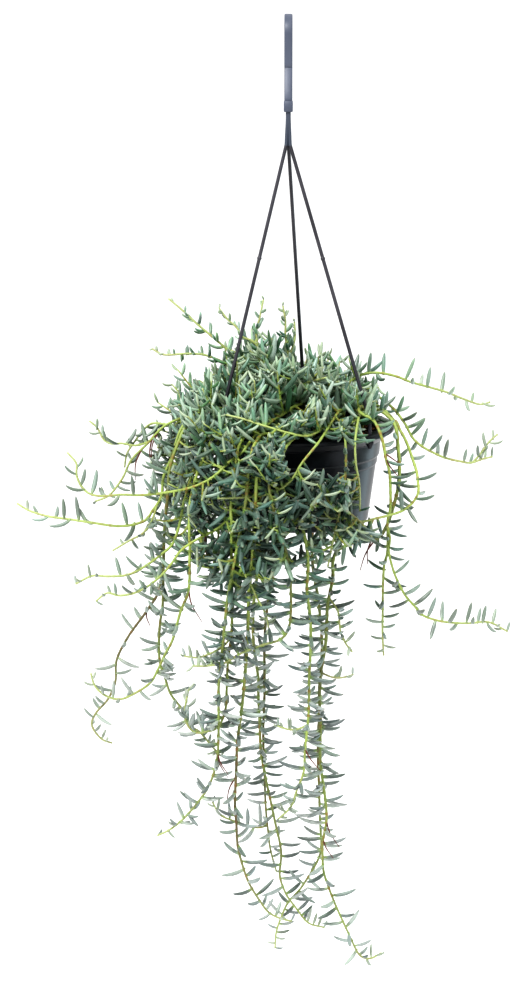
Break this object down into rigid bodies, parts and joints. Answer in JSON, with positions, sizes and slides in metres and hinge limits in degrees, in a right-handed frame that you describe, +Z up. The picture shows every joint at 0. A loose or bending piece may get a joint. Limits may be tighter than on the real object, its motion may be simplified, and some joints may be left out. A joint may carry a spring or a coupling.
{
  "type": "potted trailing senecio",
  "caption": "Hanging pot of trailing senecio: slender fleshy leaves on long stems that pour over the rim, under a hook and three strands.",
  "frame": {"origin": "middle of the flat at the inner top of the hook, where it bears on what it hangs from", "axes": "+Z up, +X to the right and -Y to the front as pictured"},
  "size_m": [0.382, 0.2347, 0.7727],
  "materials": {
    "hanger": "satin moulded charcoal plastic",
    "pot": "slightly glossy charcoal plastic",
    "soil": "coarse brown potting mix",
    "plant": "waxy blue-green leaves on yellow-green stems"
  },
  "bodies": {
    "root": {"hanger_hook": "hanger", "hanger_strand_back": "hanger", "hanger_strand_left": "hanger", "hanger_strand_right": "hanger", "pot": "pot", "soil": "soil", "stem_back_hang_left": "plant", "stem_back_hang_middle": "plant", "stem_back_hang_right": "plant", "stem_back_short_1": "plant", "stem_back_short_2": "plant", "stem_back_short_3": "plant", "stem_back_short_4": "plant", "stem_back_short_5": "plant", "stem_back_short_6": "plant", "stem_back_short_7": "plant", "stem_crown_01": "plant", "stem_crown_02": "plant", "stem_crown_03": "plant", "stem_crown_04": "plant", "stem_crown_05": "plant", "stem_crown_06": "plant", "stem_crown_07": "plant", "stem_crown_08": "plant", "stem_crown_09": "plant", "stem_crown_10": "plant", "stem_crown_11": "plant", "stem_curtain_left": "plant", "stem_curtain_left_long": "plant", "stem_curtain_middle": "plant", "stem_curtain_right": "plant", "stem_curtain_shoot": "plant", "stem_front_cross": "plant", "stem_front_level": "plant", "stem_front_right_hang": "plant", "stem_left_cross": "plant", "stem_left_hang_back": "plant", "stem_left_hang_front": "plant", "stem_left_hang_middle": "plant", "stem_left_low_shoot": "plant", "stem_left_lower_long": "plant", "stem_left_middle": "plant", "stem_left_upper_long": "plant", "stem_right_front_short": "plant", "stem_right_hang": "plant", "stem_right_hang_back": "plant", "stem_right_loop": "plant", "stem_right_out": "plant", "stem_right_top": "plant", "stem_top_left_back": "plant", "stem_top_left_front": "plant", "stem_top_middle": "plant", "stem_top_upright": "plant"}
  },
  "joints": []
}
